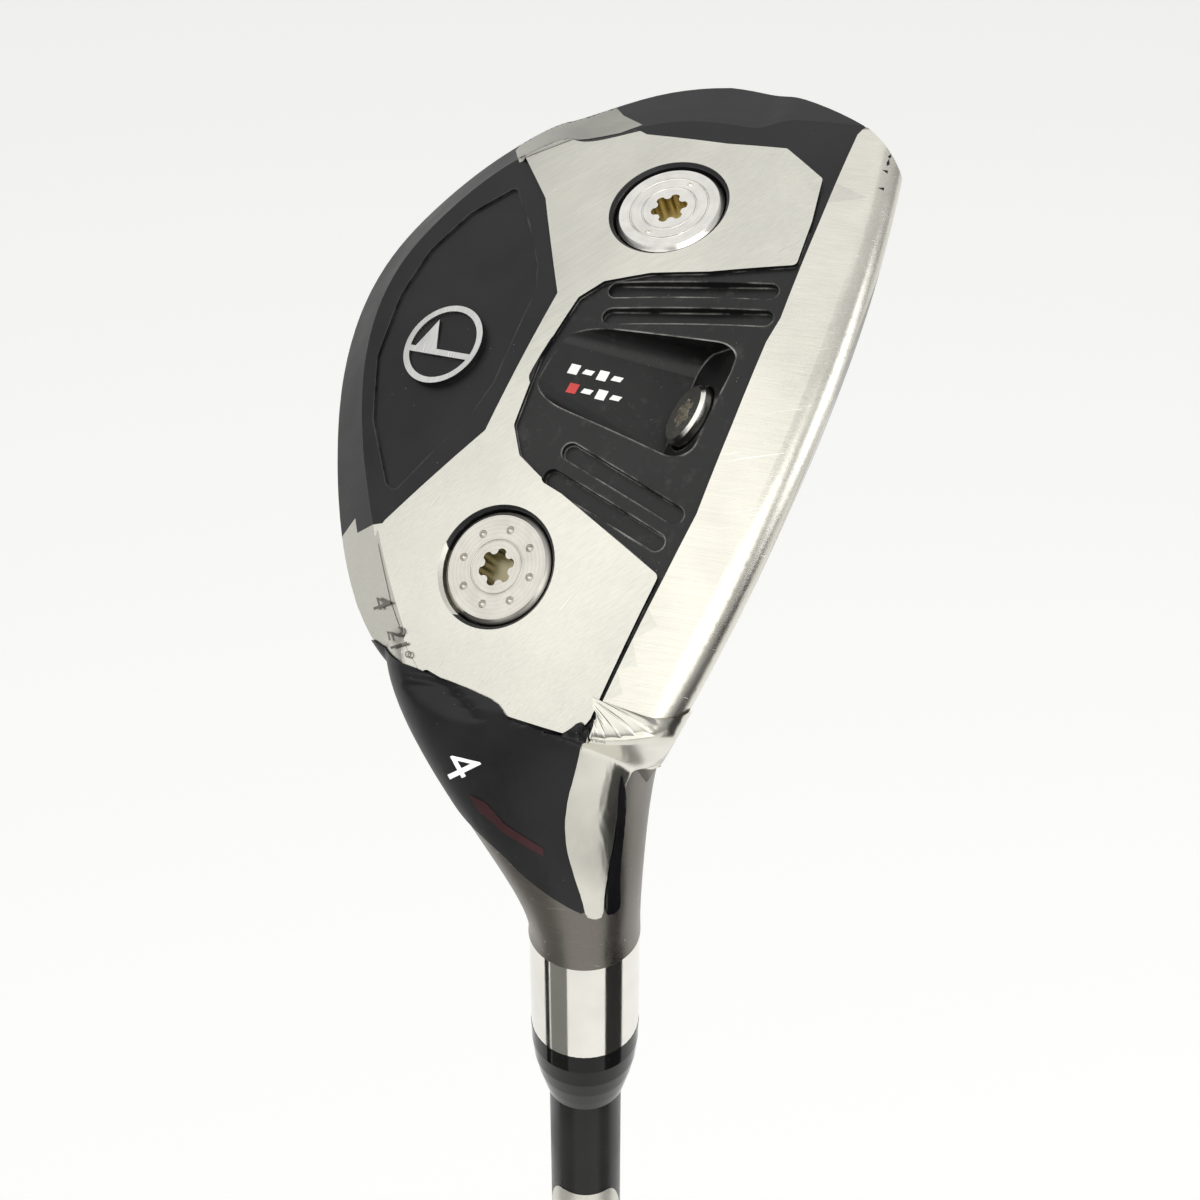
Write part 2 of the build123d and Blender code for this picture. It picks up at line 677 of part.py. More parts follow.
with BuildPart() as grip_sleeve:
    turned([
        (1.5, 0.0), (GRIP_BUTT_RADIUS - 2.0, 0.0), (GRIP_BUTT_RADIUS - 0.5, 0.7),
        (GRIP_BUTT_RADIUS, 2.4), (GRIP_BUTT_RADIUS, 5.0), (GRIP_BUTT_RADIUS - 0.7, 12.0),
        (GRIP_MOUTH_RADIUS + 0.3, GRIP_LENGTH - 6.0), (GRIP_MOUTH_RADIUS - 0.4, GRIP_LENGTH),
        (shaft_radius(GRIP_LENGTH) + 0.02, GRIP_LENGTH), (shaft_radius(250.2) + 0.01, 250.2),
        (shaft_radius(250.2) + 0.16, 250.2), (BUTT_RADIUS + 0.16, SHAFT_TOP), (1.5, SHAFT_TOP),
    ])
grip_sleeve.part.label = "grip_sleeve"
export_step(grip_sleeve.part, "parts/grip_sleeve.step")
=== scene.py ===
import math

import bmesh
import bpy
from mathutils import Matrix, Vector
from mathutils.bvhtree import BVHTree
from mathutils.geometry import delaunay_2d_cdt


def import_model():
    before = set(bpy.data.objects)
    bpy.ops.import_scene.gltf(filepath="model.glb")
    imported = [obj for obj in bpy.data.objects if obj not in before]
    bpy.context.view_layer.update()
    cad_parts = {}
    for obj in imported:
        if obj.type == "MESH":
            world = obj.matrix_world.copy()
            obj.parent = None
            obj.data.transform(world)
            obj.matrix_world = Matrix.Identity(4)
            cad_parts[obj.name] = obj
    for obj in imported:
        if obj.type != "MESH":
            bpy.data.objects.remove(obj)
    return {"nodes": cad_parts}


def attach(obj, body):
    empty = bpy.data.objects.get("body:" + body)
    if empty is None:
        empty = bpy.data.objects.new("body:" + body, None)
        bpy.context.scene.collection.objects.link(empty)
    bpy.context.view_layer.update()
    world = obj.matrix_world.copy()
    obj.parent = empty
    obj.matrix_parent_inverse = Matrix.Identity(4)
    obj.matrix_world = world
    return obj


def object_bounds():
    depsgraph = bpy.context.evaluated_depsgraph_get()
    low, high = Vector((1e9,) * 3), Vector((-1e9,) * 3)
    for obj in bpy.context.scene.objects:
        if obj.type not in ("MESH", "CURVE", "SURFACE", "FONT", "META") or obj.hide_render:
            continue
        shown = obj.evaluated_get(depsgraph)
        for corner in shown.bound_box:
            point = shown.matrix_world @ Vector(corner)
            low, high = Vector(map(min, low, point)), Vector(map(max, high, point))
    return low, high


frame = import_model()
CAD_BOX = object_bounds()
NODES = frame["nodes"]

# ---------------------------------------------------------------------------
# Address frame of the head (x toe, y target, z up, in millimetres)
# ---------------------------------------------------------------------------
LENGTH = 1003.0
LIE = math.radians(59.0)
S, C = math.sin(LIE), math.cos(LIE)

# The sole's camber: lowest point and radii along the face and across it
LOW_X, LOW_Y = 28.0, 6.0
LONG_RADIUS, CROSS_RADIUS = 134.0, 160.0

# Centres of the pieces let into the sole, seen in plan
HEEL_PORT = (8.5, -16.0)
TOE_PORT = (59.0, -15.6)
BADGE_SPOT = (33.8, -35.6)


def row(x, y, z):
    """Address millimetres to the row frame in metres."""
    return Vector((x * S + z * C, -y, LENGTH + x * C - z * S)) / 1000.0


def turn(x, y, z):
    """A direction, from the address frame to the row frame."""
    return Vector((x * S + z * C, -y, x * C - z * S)).normalized()


def addr(p):
    """A row point in metres to address millimetres."""
    X, Y, Z = p[0] * 1000.0, p[1] * 1000.0, p[2] * 1000.0 - LENGTH
    return Vector((S * X + C * Z, -Y, C * X - S * Z))


def sole(x, y):
    """Height of the sole's camber."""
    return (x - LOW_X) ** 2 / (2 * LONG_RADIUS) + (y - LOW_Y) ** 2 / (2 * CROSS_RADIUS)


def sole_point(x, y):
    """Point of the sole's camber in the row frame."""
    return row(x, y, sole(x, y))


def sole_out(x, y):
    """Direction straight out of the sole."""
    return turn((x - LOW_X) / LONG_RADIUS, (y - LOW_Y) / CROSS_RADIUS, -1)


# ---------------------------------------------------------------------------
# Camera and light
# ---------------------------------------------------------------------------
def camera():
    """Looks down at the sole from the heel side, with the shaft running to the lower edge."""
    data = bpy.data.cameras.new("camera")
    data.lens = 76.8
    data.sensor_width = 36.0
    data.clip_start = 0.02
    data.clip_end = 30.0
    cam = bpy.data.objects.new("camera", data)
    place = Vector((-0.1891, -0.0985, 1.1947))
    bearing, climb = math.radians(207.0), math.radians(40.5)
    right = Vector((-math.sin(bearing), math.cos(bearing), 0.0))
    level = Vector((math.cos(bearing), math.sin(bearing), 0.0))
    back = level * math.cos(climb) + Vector((0.0, 0.0, math.sin(climb)))
    up = back.cross(right)
    spin = Matrix((right, up, back)).transposed().to_4x4()
    cam.matrix_world = Matrix.Translation(place) @ spin
    bpy.context.scene.collection.objects.link(cam)
    bpy.context.scene.camera = cam
    bpy.context.scene.view_settings.view_transform = "Standard"


def area(name, where, size, power, tint=(1.0, 1.0, 1.0)):
    """Square soft light aimed at the head."""
    aim = Vector((0.05, 0.0, 1.0))
    data = bpy.data.lights.new(name, "AREA")
    data.energy = power
    data.color = tint
    data.shape = "RECTANGLE"
    data.size = size
    data.size_y = size
    lamp = bpy.data.objects.new(name, data)
    lamp.location = where
    lamp.rotation_euler = (aim - Vector(where)).to_track_quat("-Z", "Y").to_euler()
    bpy.context.scene.collection.objects.link(lamp)


def lights():
    area("key", (-0.9, -0.9, 2.2), 1.6, 10.0, (1.0, 0.99, 0.97))
    area("side", (0.7, -1.4, 1.3), 1.0, 5.0, (0.97, 0.98, 1.0))
    area("sweep", (-0.86, 0.66, 2.15), 2.0, 8.0, (1.0, 0.995, 0.975))
    area("toe_fill", (0.72, 0.58, 2.30), 1.3, 1.6)


def world():
    """Pale sky with a greyer horizon, which the steel and the chrome reflect."""
    w = bpy.data.worlds.new("studio")
    bpy.context.scene.world = w
    w.use_nodes = True
    nt = w.node_tree
    bg = nt.nodes["Background"]
    coord = nt.nodes.new("ShaderNodeTexCoord")
    parts = nt.nodes.new("ShaderNodeSeparateXYZ")
    ramp = nt.nodes.new("ShaderNodeValToRGB")
    span = nt.nodes.new("ShaderNodeMapRange")
    span.inputs["From Min"].default_value = -1.0
    span.inputs["From Max"].default_value = 1.0
    nt.links.new(coord.outputs["Generated"], parts.inputs[0])
    nt.links.new(parts.outputs["Z"], span.inputs["Value"])
    nt.links.new(span.outputs[0], ramp.inputs[0])
    stops = ramp.color_ramp.elements
    stops[0].position, stops[0].color = 0.0, (0.80, 0.80, 0.78, 1)
    stops[1].position, stops[1].color = 1.0, (1.0, 1.0, 1.0, 1)
    stops.new(0.5).color = (0.42, 0.42, 0.42, 1)
    stops.new(0.72).color = (0.72, 0.72, 0.71, 1)
    nt.links.new(ramp.outputs[0], bg.inputs["Color"])
    bg.inputs["Strength"].default_value = 0.80


# ---------------------------------------------------------------------------
# Node helpers
# ---------------------------------------------------------------------------
class Look:
    """A Principled material with short ways to add procedural detail."""

    def __init__(self, name, colour, rough, metal=0.0, **sockets):
        self.mat = bpy.data.materials.new(name)
        self.mat.use_nodes = True
        self.nt = self.mat.node_tree
        self.bsdf = self.nt.nodes["Principled BSDF"]
        self.bsdf.inputs["Base Color"].default_value = (*colour, 1.0)
        self.bsdf.inputs["Roughness"].default_value = rough
        self.bsdf.inputs["Metallic"].default_value = metal
        for key, value in sockets.items():
            self.bsdf.inputs[key.replace("_", " ")].default_value = value
        self.coord = self.nt.nodes.new("ShaderNodeTexCoord").outputs["Object"]
        self.heights = []

    def node(self, kind, **props):
        n = self.nt.nodes.new("ShaderNode" + kind)
        for key, value in props.items():
            setattr(n, key, value)
        return n

    def link(self, a, b):
        self.nt.links.new(a, b)

    def math(self, op, a, b=None):
        n = self.node("Math", operation=op)
        for i, v in enumerate((a, b)):
            if v is None:
                continue
            if isinstance(v, (int, float)):
                n.inputs[i].default_value = v
            else:
                self.link(v, n.inputs[i])
        return n.outputs[0]

    def dot(self, direction, origin=(0.0, 0.0, 0.0), scale=1000.0):
        """Distance along a direction from an origin, in millimetres unless scaled."""
        sub = self.node("VectorMath", operation="SUBTRACT")
        self.link(self.coord, sub.inputs[0])
        sub.inputs[1].default_value = origin
        dot = self.node("VectorMath", operation="DOT_PRODUCT")
        self.link(sub.outputs[0], dot.inputs[0])
        dot.inputs[1].default_value = Vector(direction) * scale
        return dot.outputs["Value"]

    def frame3(self, a, b, c, origin=(0.0, 0.0, 0.0), scale=(1.0, 1.0, 1.0)):
        """Coordinates along three directions, in millimetres times scale."""
        out = self.node("CombineXYZ")
        for i, (axis, k) in enumerate(zip((a, b, c), scale)):
            self.link(self.dot(axis, origin, 1000.0 * k), out.inputs[i])
        return out.outputs[0]

    def noise(self, vector, scale, detail=4.0, rough=0.5, distort=0.0):
        n = self.node("TexNoise")
        self.link(vector, n.inputs["Vector"])
        n.inputs["Scale"].default_value = scale
        n.inputs["Detail"].default_value = detail
        n.inputs["Roughness"].default_value = rough
        n.inputs["Distortion"].default_value = distort
        return n.outputs["Fac"]

    def span(self, value, lo, hi, a=0.0, b=1.0):
        """Value taken from the range lo..hi to a..b, and clamped."""
        n = self.node("MapRange")
        n.clamp = True
        self.link(value, n.inputs["Value"])
        for key, v in zip(("From Min", "From Max", "To Min", "To Max"), (lo, hi, a, b)):
            n.inputs[key].default_value = v
        return n.outputs["Result"]

    def mix(self, fac, a, b):
        n = self.node("Mix", data_type="RGBA")
        self.link(fac, n.inputs[0])
        for i, v in ((6, a), (7, b)):
            if isinstance(v, tuple):
                n.inputs[i].default_value = (*v, 1.0)
            else:
                self.link(v, n.inputs[i])
        return n.outputs[2]

    def set_colour(self, value):
        self.link(value, self.bsdf.inputs["Base Color"])

    def set_rough(self, value):
        self.link(value, self.bsdf.inputs["Roughness"])

    def bump(self, height, depth_mm):
        """Adds a bump on top of those before it."""
        n = self.node("Bump")
        n.inputs["Strength"].default_value = 1.0
        n.inputs["Distance"].default_value = depth_mm / 1000.0
        self.link(height, n.inputs["Height"])
        if self.heights:
            self.link(self.heights[-1], n.inputs["Normal"])
        self.heights.append(n.outputs[0])
        self.link(n.outputs[0], self.bsdf.inputs["Normal"])


AX, AY, AZ = turn(1, 0, 0), turn(0, 1, 0), turn(0, 0, 1)
HEAD0 = row(0, 0, 0)


def satin_steel(name, tone, rough, along, coarse, scratch):
    """Brushed or blasted steel with a directional grain, smudges and scratches."""
    look = Look(name, tone, rough, 1.0)
    across = along.cross(AZ).normalized()
    grain = look.frame3(along, across, AZ, HEAD0, (0.05, 3.2 * coarse, 3.2 * coarse))
    lines = look.noise(grain, 1.6, 6.0, 0.65)
    plain = look.frame3(AX, AY, AZ, HEAD0)
    cloud = look.noise(plain, 0.09, 3.0, 0.5)
    fine = look.noise(plain, 2.6, 5.0, 0.6)
    bent_along = (along + across * 0.32).normalized()
    bent_across = (across - along * 0.32).normalized()
    bent = look.frame3(bent_along, bent_across, AZ, HEAD0, (0.10, 5.5, 1.0))
    scuff = look.span(look.noise(bent, 0.75, 2.0, 0.4, 0.35), 0.70, 0.76)
    shade = look.span(lines, 0.32, 0.68, 0.90, 1.06)
    darker, lighter = tuple(c * 0.93 for c in tone), tuple(min(1.0, c * 1.05) for c in tone)
    tone2 = look.mix(look.span(cloud, 0.35, 0.65), darker, lighter)
    mul = look.node("VectorMath", operation="SCALE")
    look.link(tone2, mul.inputs[0])
    look.link(shade, mul.inputs["Scale"])
    bright = look.mix(look.math("MULTIPLY", scuff, scratch), mul.outputs[0], (0.93, 0.92, 0.90))
    look.set_colour(bright)
    grain_rough = look.span(lines, 0.3, 0.7, rough - 0.05, rough + 0.06)
    base = look.math("ADD", grain_rough, look.span(cloud, 0.3, 0.7, -0.04, 0.05))
    look.set_rough(look.math("SUBTRACT", base, look.math("MULTIPLY", scuff, 0.10)))
    look.bump(lines, 0.010)
    look.bump(fine, 0.006)
    look.bump(scuff, -0.012)
    return look


def paint(name, tone, rough, dust=0.0, wear=0.0, gloss=0.28):
    """Satin lacquer with a fine orange peel, soft gloss changes, specks of dust and rubbed edges."""
    coat = {"Specular_IOR_Level": gloss, "Coat_Weight": 0.06, "Coat_Roughness": 0.2}
    look = Look(name, tone, rough, 0.0, **coat)
    plain = look.frame3(AX, AY, AZ, HEAD0)
    peel = look.noise(plain, 3.2, 3.0, 0.5)
    cloud = look.noise(plain, 0.11, 3.0, 0.55)
    spots = look.node("TexVoronoi")
    look.link(plain, spots.inputs["Vector"])
    spots.inputs["Scale"].default_value = 1.3
    speck = look.span(spots.outputs["Distance"], 0.05, 0.085, 1.0, 0.0)
    rare = look.span(look.noise(plain, 0.6, 2.0), 0.60, 0.66)
    mark = look.math("MULTIPLY", look.math("MULTIPLY", speck, rare), 0.5 + dust)
    haze = look.span(look.noise(plain, 0.5, 5.0, 0.7), 0.55, 0.8, 0.0, dust)
    base = look.mix(look.span(cloud, 0.3, 0.7), tone, tuple(c * 1.6 + 0.003 for c in tone))
    hazed = look.mix(haze, base, (0.20, 0.195, 0.185))
    dusty = look.mix(mark, hazed, (0.42, 0.41, 0.39))
    if wear:
        soft = look.node("Bevel", samples=6)
        soft.inputs["Radius"].default_value = 0.00035
        hard = look.node("NewGeometry")
        gap = look.node("VectorMath", operation="DOT_PRODUCT")
        look.link(soft.outputs[0], gap.inputs[0])
        look.link(hard.outputs["Normal"], gap.inputs[1])
        edge = look.span(gap.outputs["Value"], 0.990, 0.955)
        patchy = look.span(look.noise(plain, 0.20, 4.0, 0.6), 0.42, 0.66, 0.0, wear)
        dusty = look.mix(look.math("MULTIPLY", edge, patchy), dusty, (0.62, 0.61, 0.57))
    look.set_colour(dusty)
    look.set_rough(look.span(cloud, 0.3, 0.7, rough - 0.05, rough + 0.07))
    look.bump(peel, 0.008)
    return look


def polished(name, tone, rough, marks=0.004):
    """Plated metal with faint hairlines and finger haze."""
    look = Look(name, tone, rough, 1.0)
    plain = look.frame3(AX, AY, AZ, HEAD0)
    hair = look.noise(look.frame3(AX, AY, AZ, HEAD0, (4.0, 0.25, 4.0)), 1.4, 4.0, 0.6)
    haze = look.noise(plain, 0.18, 3.0, 0.5)
    look.set_colour(look.mix(look.span(haze, 0.35, 0.7), tone, tuple(c * 0.9 for c in tone)))
    look.set_rough(look.span(haze, 0.3, 0.7, rough, rough + 0.06))
    look.bump(hair, marks)
    return look


def turned_metal(name, tone, rough, centre, axis, ring_mm):
    """Metal faced on a lathe: fine rings round an axis."""
    look = Look(name, tone, rough, 1.0)
    axis = axis.normalized()
    side = axis.orthogonal().normalized()
    other = axis.cross(side)
    a = look.dot(side, centre)
    b = look.dot(other, centre)
    r = look.math("SQRT", look.math("ADD", look.math("MULTIPLY", a, a), look.math("MULTIPLY", b, b)))
    wave = look.math("SINE", look.math("MULTIPLY", r, 2 * math.pi / ring_mm))
    plain = look.frame3(AX, AY, AZ, HEAD0)
    cloud = look.noise(plain, 0.5, 3.0)
    look.set_colour(look.mix(look.span(cloud, 0.3, 0.7), tone, tuple(c * 0.86 for c in tone)))
    look.set_rough(look.span(wave, -1.0, 1.0, rough - 0.05, rough + 0.08))
    look.bump(wave, 0.004)
    look.bump(look.noise(plain, 3.0, 4.0), 0.004)
    return look


def grip_rubber():
    """Matt moulded rubber with fine pits."""
    look = Look("grip_rubber", (0.018, 0.018, 0.018), 0.72)
    plain = look.frame3(Vector((1, 0, 0)), Vector((0, 1, 0)), Vector((0, 0, 1)))
    cells = look.node("TexVoronoi")
    look.link(plain, cells.inputs["Vector"])
    cells.inputs["Scale"].default_value = 0.55
    pit = look.span(cells.outputs["Distance"], 0.1, 0.5)
    look.set_colour(look.mix(pit, (0.010, 0.010, 0.010), (0.026, 0.026, 0.026)))
    look.set_rough(look.span(look.noise(plain, 0.3, 4.0), 0.3, 0.7, 0.62, 0.82))
    look.bump(pit, 0.25)
    look.bump(look.noise(plain, 2.0, 5.0), 0.05)
    return look


# ---------------------------------------------------------------------------
# Materials
# ---------------------------------------------------------------------------
PANEL_STEEL = satin_steel("panel_steel", (0.70, 0.69, 0.62), 0.34, turn(0.80, 0.60, 0.0), 1.0, 0.30)
BAND_STEEL = satin_steel("band_steel", (0.76, 0.74, 0.66), 0.27, turn(0.16, 0.98, 0.0), 1.5, 0.75)
GUNMETAL = satin_steel("gunmetal", (0.20, 0.185, 0.165), 0.33, turn(0.0, 1.0, 0.0), 0.8, 0.15)
CHROME = polished("chrome", (0.80, 0.785, 0.73), 0.05)
SPEAR = polished("polished_flank", (0.74, 0.72, 0.65), 0.20)
BLACK = paint("satin_black", (0.008, 0.008, 0.009), 0.42, 0.0, 0.10)
WORN_BLACK = paint("worn_black", (0.009, 0.009, 0.009), 0.36, 0.16, 0.6)
GLOSS_BLACK = paint("gloss_black", (0.006, 0.006, 0.007), 0.10)
WHITE_INK = paint("white_ink", (0.80, 0.80, 0.79), 0.45)
RED_INK = paint("red_ink", (0.50, 0.055, 0.05), 0.45)
DARK_RED = paint("dark_red_ink", (0.034, 0.008, 0.010), 0.42)

# Material slots of the casting
PAINTED, PANEL, BAND, WORN, NECK, HOSEL = range(6)


def slots(obj, *looks):
    """Gives an object these finishes, one to a material slot."""
    obj.data.materials.clear()
    for look in looks:
        obj.data.materials.append(look.mat)


def body_faces():
    """Sorts the casting's faces by finish, from where they lie in the address frame.

    height is the distance up the hosel, away the distance from its line, and step the height
    over the sole's camber, in millimetres.
    """
    obj = NODES["head_body"]
    slots(obj, BLACK, PANEL_STEEL, BAND_STEEL, WORN_BLACK, GUNMETAL, CHROME)
    up = Vector((-C, 0.0, S))
    for poly in obj.data.polygons:
        p = addr(poly.center)
        n = poly.normal
        nx, ny, nz = n.dot(AX), n.dot(AY), n.dot(AZ)
        height = p.dot(up)
        away = (p - up * height).length
        step = p.z - sole(p.x, p.y)
        facing = (nx * (p.x - LOW_X) / LONG_RADIUS + ny * (p.y - LOW_Y) / CROSS_RADIUS - nz) > 0.93
        heel_corner = p.x < 9.6 and p.y < -20.5 and p.z < 14.0 and height < 11.5
        neck_step = p.x < 2.0 and -20.5 < p.y < 2.5 and p.z < 12.0 and height < 14.0 and step > 0.16
        neck_front = p.x < 2.0 and p.y > 3.5 and p.z < 16.0 and 3.0 < height < 15.0
        sole_front = p.y > 4.4 and p.z < 12.5 and abs(step) < 3.5 and not (facing and step > 0.3)
        rim = ny > 0.2 or nz < -0.2 or p.y > 12.0
        pocket_floor = step > 0.16 and facing and 4.0 < p.x < 66.0 and -22.0 < p.y < 5.5
        pocket_wall = step > 0.7 and 12.0 < p.x < 60.0 and -23.0 < p.y < 6.0 and p.z < 22.0
        index = PAINTED
        if height > 43.3 and away < 7.1:
            index = HOSEL
        elif heel_corner:
            index = PANEL
        elif neck_step:
            index = PAINTED
        elif neck_front:
            index = BAND
        elif height > 3.0 and p.x < 2.0 and step > 1.2:
            index = NECK
        elif sole_front or (p.y > 9.0 and p.x > -4.0 and p.z < 30.0 and rim):
            index = BAND
        elif abs(step) < 0.16 and facing:
            index = BAND if p.x > 67.0 and p.y > 0.0 else PANEL
        elif p.y < -19.0 and p.x < 7.0 and p.z < 14.0 and height < 5.6:
            index = PANEL
        elif pocket_floor or pocket_wall:
            index = WORN
        poly.material_index = index


def sunk_faces(obj, place, depth, reach, look):
    """Gives a second finish to the faces of a sole piece that lie deep and near its axis, in mm."""
    centre, axis = sole_point(*place), sole_out(*place)
    obj.data.materials.append(look.mat)
    for poly in obj.data.polygons:
        d = (poly.center - centre) * 1000.0
        along = d.dot(axis)
        if along < -depth and (d - axis * along).length < reach:
            poly.material_index = 1


def weight(name, place, finish, tone, rough, ring_mm, recess_shade_tone):
    """Lathe-turned disc whose driver recess has a brassy colour, darkened as painted shade of its depth."""
    obj = NODES[name]
    slots(obj, turned_metal(finish, tone, rough, sole_point(*place), sole_out(*place), ring_mm))
    # Deep faces of the driver recess get a brass colour darkened as painted shade, in place of the recess's
    # own shadow
    sunk_faces(obj, place, 0.45, 3.0, polished(name + "_recess_painted_shade", recess_shade_tone, 0.28, 0.02))


def simple_nodes():
    """Finishes for every CAD part but the casting."""
    # Recess tones are brass darkened as painted shade, the heel one darker than the toe one
    weight("heel_weight", HEEL_PORT, "heel_weight_steel", (0.66, 0.635, 0.58), 0.34, 0.5, (0.30, 0.27, 0.17))
    weight("toe_weight", TOE_PORT, "toe_weight_alloy", (0.80, 0.785, 0.74), 0.20, 0.62, (0.50, 0.42, 0.22))
    slots(NODES["core_screw"], polished("core_screw_chrome", (0.86, 0.84, 0.78), 0.18, 0.02))
    slots(NODES["face_plate"], satin_steel("face_steel", (0.55, 0.54, 0.52), 0.42, AX, 0.7, 0.3))
    slots(NODES["crown_plate"], paint("crown_black", (0.008, 0.008, 0.009), 0.22))
    slots(NODES["sole_badge"], satin_steel("badge_alloy", (0.78, 0.775, 0.76), 0.30, AX, 1.0, 0.2))
    sunk_faces(NODES["sole_badge"], BADGE_SPOT, 0.25, 99.0, BLACK)
    slots(NODES["ferrule"], paint("ferrule_black", (0.003, 0.003, 0.003), 0.06, gloss=0.12))
    slots(NODES["shaft"], paint("shaft_black", (0.006, 0.006, 0.006), 0.30, gloss=0.14))
    slots(NODES["grip_sleeve"], grip_rubber())
    hidden = {
        "heel_slug": (0.30, 0.29, 0.28), "toe_slug": (0.30, 0.29, 0.28), "core_carrier": (0.55, 0.55, 0.55),
        "tip_plug": (0.62, 0.50, 0.25),
    }
    for name, tone in hidden.items():
        slots(NODES[name], polished(name + "_metal", tone, 0.3, 0.01))
    soft = {
        "heel_seal": (0.02, 0.02, 0.02), "toe_seal": (0.02, 0.02, 0.02), "core_seal": (0.02, 0.02, 0.02),
        "core_puck": (0.10, 0.10, 0.10), "badge_tape": (0.30, 0.30, 0.28), "catch_glue": (0.60, 0.50, 0.25),
        "shaft_epoxy": (0.50, 0.45, 0.30), "grip_tape": (0.62, 0.60, 0.52),
    }
    for name, tone in soft.items():
        slots(NODES[name], paint(name + "_finish", tone, 0.6))


# ---------------------------------------------------------------------------
# Thin skins laid on the casting: paint, polished flank, marks
# ---------------------------------------------------------------------------
def tree_of(name):
    """Ray-casting tree of a CAD part."""
    mesh = NODES[name].data
    verts = [v.co.copy() for v in mesh.vertices]
    return BVHTree.FromPolygons(verts, [list(p.vertices) for p in mesh.polygons])


def hit_skin(start, way, reach, lift_mm):
    """First point of the casting along a ray, raised off its surface; None where the ray misses."""
    hit, normal, _, _ = TREE.ray_cast(start, way, reach)
    if hit is None:
        return None
    if normal.dot(way) > 0:
        normal = -normal
    return hit + normal * (lift_mm / 1000.0)


def add_piece(name, mesh, look):
    """Adds a mesh as a piece that rides on the club."""
    obj = bpy.data.objects.new(name, mesh)
    bpy.context.scene.collection.objects.link(obj)
    mesh.materials.clear()
    mesh.materials.append(look.mat)
    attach(obj, "club")


def to_mesh(name, bm):
    """Mesh from a bmesh, which is freed."""
    mesh = bpy.data.meshes.new(name)
    bm.to_mesh(mesh)
    bm.free()
    return mesh


def resample(points, step):
    """Even points round a closed outline."""
    out = []
    count = len(points)
    for i in range(count):
        a, b = Vector(points[i]), Vector(points[(i + 1) % count])
        n = max(1, int((b - a).length / step))
        for k in range(n):
            out.append(a.lerp(b, k / n))
    return out


def rounded(points):
    """Cuts the corners of a closed outline."""
    pts = [Vector(p) for p in points]
    out = []
    for i in range(len(pts)):
        a, b = pts[i], pts[(i + 1) % len(pts)]
        out += [a.lerp(b, 0.2), a.lerp(b, 0.8)]
    return out


def inside(p, poly):
    """Whether a 2-D point is inside a closed outline."""
    hit = False
    j = len(poly) - 1
    for i in range(len(poly)):
        a, b = poly[i], poly[j]
        if (a[1] > p[1]) != (b[1] > p[1]):
            if p[0] < (b[0] - a[0]) * (p[1] - a[1]) / (b[1] - a[1]) + a[0]:
                hit = not hit
        j = i
    return hit


def fill(outline, step):
    """Points and triangles filling a closed 2-D outline."""
    edge = resample(outline, step)
    count = len(edge)
    xs = [p[0] for p in edge]
    ys = [p[1] for p in edge]
    pts = [Vector((p[0], p[1])) for p in edge]
    y = min(ys) + step * 0.5
    while y < max(ys):
        x = min(xs) + step * 0.5
        while x < max(xs):
            p = (x, y)
            if inside(p, edge):
                pts.append(Vector(p))
            x += step
        y += step
    edges = [(i, (i + 1) % count) for i in range(count)]
    v, _, f, _, _, _ = delaunay_2d_cdt(pts, edges, [], 1, 1e-5)
    return v, f


def skin(name, outline, cast, look, step, lift, smooth=0):
    """Sheet over a 2-D outline, laid on the casting along rays given by cast(u, v).

    step is the size of its triangles and lift its height off the casting, in millimetres.
    """
    flat, faces = fill(outline, step)
    verts = [hit_skin(*cast(p[0], p[1]), 0.2, lift) for p in flat]
    index, coords = {}, []
    for i, v in enumerate(verts):
        if v is not None:
            index[i] = len(coords)
            coords.append(v)
    tris = [[index[i] for i in f] for f in faces if all(i in index for i in f)]
    mesh = bpy.data.meshes.new(name)
    mesh.from_pydata(coords, [], tris)
    bm = bmesh.new()
    bm.from_mesh(mesh)
    if smooth:
        inner = [v for v in bm.verts if not v.is_boundary]
        every_way = {"use_axis_x": True, "use_axis_y": True, "use_axis_z": True}
        for _ in range(smooth):
            bmesh.ops.smooth_vert(bm, verts=inner, factor=0.5, **every_way)
    out = cast(flat[0][0], flat[0][1])[1]
    for f in bm.faces:
        f.smooth = True
    bmesh.ops.recalc_face_normals(bm, faces=bm.faces)
    total = sum((f.normal for f in bm.faces), Vector())
    if total.dot(out) > 0:
        bmesh.ops.reverse_faces(bm, faces=bm.faces)
    bm.to_mesh(mesh)
    bm.free()
    add_piece(name, mesh, look)


def plan_cast(x, y):
    """Straight up at the sole from below."""
    return row(x, y, sole(x, y) - 6.0), turn(0, 0, 1)


def round_cast(angle, height):
    """At the neck square to the shaft axis; angle in degrees from the underside to the front."""
    a = math.radians(angle)
    out = Vector((-S * math.cos(a), math.sin(a), -C * math.cos(a)))
    foot = Vector((-C * height, 0.0, S * height))
    start = foot + out * 40.0
    return row(*start), turn(*(-out))


